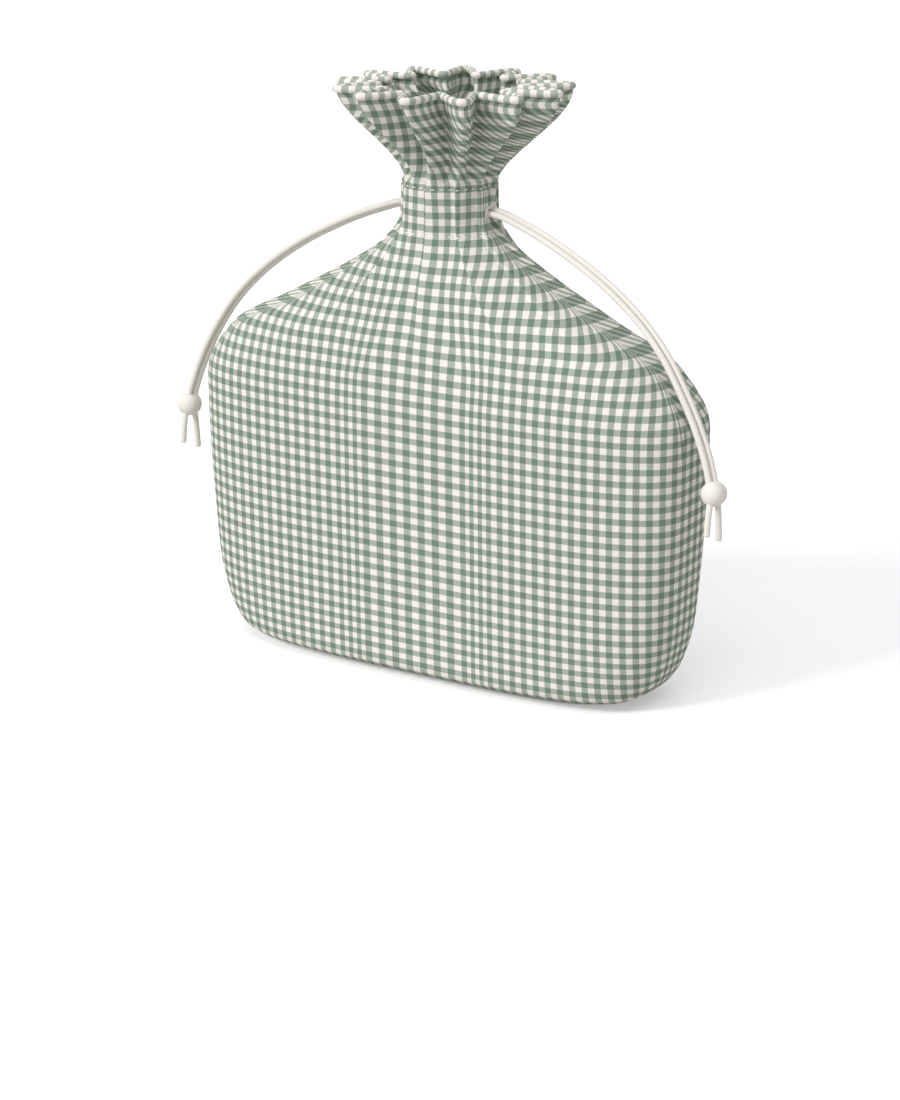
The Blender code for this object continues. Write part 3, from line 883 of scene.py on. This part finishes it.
def stitch_maker(material):
    """Nodes that lay running stitches along a line, one stitch at every step."""
    tree = bpy.data.node_groups.new("running_stitches", "GeometryNodeTree")
    for name, way, kind in (
        ("Line", "INPUT", "NodeSocketGeometry"),
        ("Step", "INPUT", "NodeSocketFloat"),
        ("Stitches", "OUTPUT", "NodeSocketGeometry"),
    ):
        tree.interface.new_socket(name=name, in_out=way, socket_type=kind)
    given, line, places, one, uneven, lay, real, dress, laid = [tree.nodes.new(kind) for kind in (
        "NodeGroupInput",
        "GeometryNodeMeshToCurve",
        "GeometryNodeCurveToPoints",
        "GeometryNodeMeshUVSphere",
        "FunctionNodeRandomValue",
        "GeometryNodeInstanceOnPoints",
        "GeometryNodeRealizeInstances",
        "GeometryNodeSetMaterial",
        "NodeGroupOutput",
    )]
    places.mode = "LENGTH"
    for key, value in (("Segments", 10), ("Rings", 9), ("Radius", 1.0)):
        one.inputs[key].default_value = value
    uneven.data_type = "FLOAT_VECTOR"
    for key, width, half_length in zip(("Min", "Max"), STITCH_WIDTHS, STITCH_HALF_LENGTHS):
        across = STITCH_RADIUS * width
        uneven.inputs[key].default_value = (across, across, STITCH_LENGTH * half_length)
    uneven.inputs["Seed"].default_value = 7
    dress.inputs["Material"].default_value = material
    for start, output, end, socket in (
        (given, "Line", line, "Mesh"),
        (line, "Curve", places, "Curve"),
        (given, "Step", places, "Length"),
        (places, "Points", lay, "Points"),
        (one, "Mesh", lay, "Instance"),
        (places, "Rotation", lay, "Rotation"),
        (uneven, "Value", lay, "Scale"),
        (lay, "Instances", real, "Geometry"),
        (real, "Geometry", dress, "Geometry"),
        (dress, "Geometry", laid, "Stitches"),
    ):
        tree.links.new(start.outputs[output], end.inputs[socket])
    return tree


def stitch_row(name, height, tree, material):
    """One row of running stitches round the neck."""
    line = cloth_ring(height) + outward(height) * STITCH_RADIUS * STITCH_LIFT
    data = bpy.data.meshes.new("seam_line")
    count = len(line)
    edges = [(i, (i + 1) % count) for i in range(count)]
    data.from_pydata([tuple(point) for point in line], edges, [])
    holder = linked("seam_line", data)
    maker = holder.modifiers.new("stitches", "NODES")
    maker.node_group = tree
    step = next(item.identifier for item in tree.interface.items_tree if item.name == "Step")
    maker[step] = STITCH_STEP
    made = mesh_of(holder)
    bpy.data.objects.remove(holder)
    made.name = name
    made.materials.clear()
    made.materials.append(material)
    made.shade_smooth()
    return linked(name, made)


# The cords

def smooth_run(points, steps):
    """Points read evenly from a smooth curve through the given ones."""
    points = np.array(points)
    fixed = np.vstack([2 * points[0] - points[1], points, 2 * points[-1] - points[-2]])
    fine = []
    for i in range(1, len(fixed) - 2):
        before, start, end, after = fixed[i - 1 : i + 3]
        for u in np.linspace(0.0, 1.0, CURVE_STEPS, endpoint=False):
            bow = (2 * before - 5 * start + 4 * end - after) * u**2
            twist = (3 * start - before - 3 * end + after) * u**3
            fine.append(0.5 * (2 * start + (end - before) * u + bow + twist))
    fine.append(fixed[-2])
    fine = np.array(fine)
    travelled = travelled_to(fine)
    marks = np.linspace(0.0, travelled[-1], steps)
    return np.column_stack([np.interp(marks, travelled, fine[:, k]) for k in range(3)])


def strand_path(side, toward):
    """One hanging strand's line, from inside its slot to the middle of the knot."""
    route = smooth_run(FREE_ROUTE, ROUTE_STEPS)
    along = unit(np.gradient(route, axis=0))
    sideways = unit(np.array([0.0, 1.0, 0.0]) - along * along[:, 1:2])
    upward = np.cross(along, sideways)
    half = (CORD_DIAMETER + GAP) / 2
    offset = sideways * (half * math.cos(PAIR_TILT)) * toward
    offset = offset + upward * (half * math.sin(PAIR_TILT)) * toward * side
    return (route + offset) * (side, 1.0, 1.0)


def rope(name, path, material):
    """A braided cord as a closed tube with rounded ends.

    Its plaits are raised along two crossing helices.
    """
    count = max(12, int(np.linalg.norm(np.diff(path, axis=0), axis=1).sum() / CORD_STEP))
    line = smooth_run(path, count)
    along = unit(np.gradient(line, axis=0))
    side = np.cross(along[0], (0.0, 1.0, 0.0))
    side /= np.linalg.norm(side)
    travelled = travelled_to(line)
    turn = 2.0 * math.pi * np.arange(CORD_SIDES) / CORD_SIDES
    mesh = bmesh.new()
    rows = []
    for i in range(count):
        side = side - along[i] * np.dot(side, along[i])
        side /= np.linalg.norm(side)
        other = np.cross(along[i], side)
        wave = 2.0 * math.pi * travelled[i] / PLAIT_TURN
        plait = np.cos(PLAITS / 2 * turn + wave) * np.cos(PLAITS / 2 * turn - wave)
        from_end = min(travelled[i], travelled[-1] - travelled[i])
        short = max(0.0, 1.0 - from_end / (CUT_END_LENGTH * CORD_RADIUS))
        full = math.sqrt(max(0.0, 1.0 - short**2))
        size = CUT_END_SIZE + (1.0 - CUT_END_SIZE) * full
        reach = (CORD_RADIUS + PLAIT_RELIEF * plait) * size
        ways = np.cos(turn)[:, None] * side + np.sin(turn)[:, None] * other
        rows.append([mesh.verts.new(point) for point in line[i] + reach[:, None] * ways])
    for low, high in zip(rows, rows[1:]):
        bridge(mesh, low, high)
    close_end(mesh, rows[0], line[0], 1, 0)
    close_end(mesh, rows[-1], line[-1], 0, 1)
    return finished(name, mesh, material)


def ball(centre, material):
    """A lobe of the knot."""
    mesh = bmesh.new()
    bmesh.ops.create_uvsphere(mesh, u_segments=48, v_segments=32, radius=KNOT_RADIUS)
    bmesh.ops.translate(mesh, verts=mesh.verts, vec=centre)
    return finished("lobe", mesh, material)


def joined(name, parts, material):
    """Closed pieces united into one closed mesh."""
    work_solids(parts[0], parts[1:], "UNION")
    data = mesh_of(parts[0])
    data.materials.clear()
    data.materials.append(material)
    for part in parts:
        bpy.data.objects.remove(part)
    return linked(name, data)


def tied_end(side, material):
    """Both strands tied together in a two-lobed ball, with the cut ends hanging from it."""
    label = "right" if side > 0 else "left"
    centre = np.array(FREE_ROUTE[-1]) * (side, 1.0, 1.0)
    spread = np.array([0.0, KNOT_SPREAD / 2, 0.0])
    parts = [ball(centre - spread, material), ball(centre + spread, material)]
    for place, toward, drop in (("back", 1.0, BACK_TAIL_DROP), ("front", -1.0, FRONT_TAIL_DROP)):
        hang = [(out, down * KNOT_RADIUS) for out, down in TAIL_IN_KNOT]
        hang += [(out, down * drop) for out, down in TAIL_BELOW]
        tail = [centre + (0.0, toward * out * TAIL_SPREAD, -down) for out, down in hang]
        parts.append(rope(f"{label}_{place}_tail", tail, material))
    return joined(f"tied_knot_{label}", parts, material)


def add_cords(material):
    """The four hanging strands and their two knots, each strand from its slot into its knot."""
    for side, label in ((1.0, "right"), (-1.0, "left")):
        knot = tied_end(side, material)
        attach(knot, "root")
        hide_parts(f"knot_{label}")
        for toward, place in ((1.0, "back"), (-1.0, "front")):
            path = strand_path(side, toward)
            from_knot = np.linalg.norm(path - path[-1], axis=1)
            path = path[from_knot > STRAND_END * KNOT_RADIUS]
            picked = path[np.linspace(0, len(path) - 1, STRAND_POINTS).round().astype(int)]
            strand = rope(f"strand_{label}_{place}", picked, material)
            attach(strand, "root")
            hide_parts(f"drawcord_{label}_{place}")
    for label in ("left", "right"):
        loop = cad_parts[f"drawcord_{label}_loop"]
        loop.data.materials.clear()
        loop.data.materials.append(material)


# Floor and light

def seen_and_felt(tree, felt, seen, output):
    """Shows one shader to the eye and gives the light another one to fall on or come from."""
    pick = tree.nodes.new("ShaderNodeMixShader")
    rays = tree.nodes.new("ShaderNodeLightPath")
    tree.links.new(rays.outputs["Is Camera Ray"], pick.inputs[0])
    tree.links.new(felt.outputs[0], pick.inputs[1])
    tree.links.new(seen.outputs[0], pick.inputs[2])
    tree.links.new(pick.outputs[0], tree.nodes[output].inputs["Surface"])


def add_floor():
    """A wide pale floor that keeps the pouch's soft shadow."""
    mesh = bmesh.new()
    bmesh.ops.create_circle(mesh, cap_ends=True, segments=64, radius=FLOOR_RADIUS)
    material = bpy.data.materials.new("floor_paper")
    material.use_nodes = True
    tree = material.node_tree
    shader = tree.nodes["Principled BSDF"]
    shader.inputs["Base Color"].default_value = FLOOR_WHITE
    shader.inputs["Roughness"].default_value = 1.0
    glow = tree.nodes.new("ShaderNodeEmission")
    glow.inputs["Strength"].default_value = FLOOR_GLOW
    both = tree.nodes.new("ShaderNodeAddShader")
    tree.links.new(shader.outputs[0], both.inputs[0])
    tree.links.new(glow.outputs[0], both.inputs[1])
    dull = tree.nodes.new("ShaderNodeBsdfDiffuse")
    dull.inputs["Color"].default_value = FLOOR_BOUNCE
    seen_and_felt(tree, dull, both, "Material Output")
    floor = finished("floor", mesh, material)


def add_sun(name, toward, power, spread):
    """A far lamp that shines from a direction, wide enough for soft shadows."""
    lamp = bpy.data.lights.new(name, "SUN")
    lamp.energy = power
    lamp.angle = math.radians(spread)
    holder = linked(name, lamp)
    holder.rotation_mode = "QUATERNION"
    holder.rotation_quaternion = Vector(toward).to_track_quat("Z", "Y")


def set_light():
    """White surroundings with a soft even light, and the lamps."""
    world = bpy.data.worlds.new("room")
    world.use_nodes = True
    bpy.context.scene.world = world
    around = world.node_tree.nodes["Background"]
    seen = world.node_tree.nodes.new("ShaderNodeBackground")
    for shader, strength in ((around, ROOM_LIGHT), (seen, 1.0)):
        shader.inputs["Color"].default_value = WHITE
        shader.inputs["Strength"].default_value = strength
    seen_and_felt(world.node_tree, around, seen, "World Output")
    for lamp in LAMPS:
        add_sun(*lamp)
    bpy.context.scene.view_settings.view_transform = "Standard"


set_camera()
cotton = cord_cotton()
add_cords(cotton)
check_cloth = gingham("gingham_cotton")
pouch = pouch_cloth(check_cloth)
cut_slots(pouch)
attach(pouch, "root")
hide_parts("pouch_cloth")
thread = thread_cotton()
stitches = stitch_maker(thread)
for name, height in (("upper_stitches", UPPER_SEAM), ("lower_stitches", LOWER_SEAM)):
    row = stitch_row(name, height, stitches, thread)
    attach(row, "root")
for side in (-1.0, 1.0):
    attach(slot_binding(side, thread), "root")
facing = neck_facing(check_cloth)
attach(facing, "root")
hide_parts("channel_facing")
add_floor()
set_light()
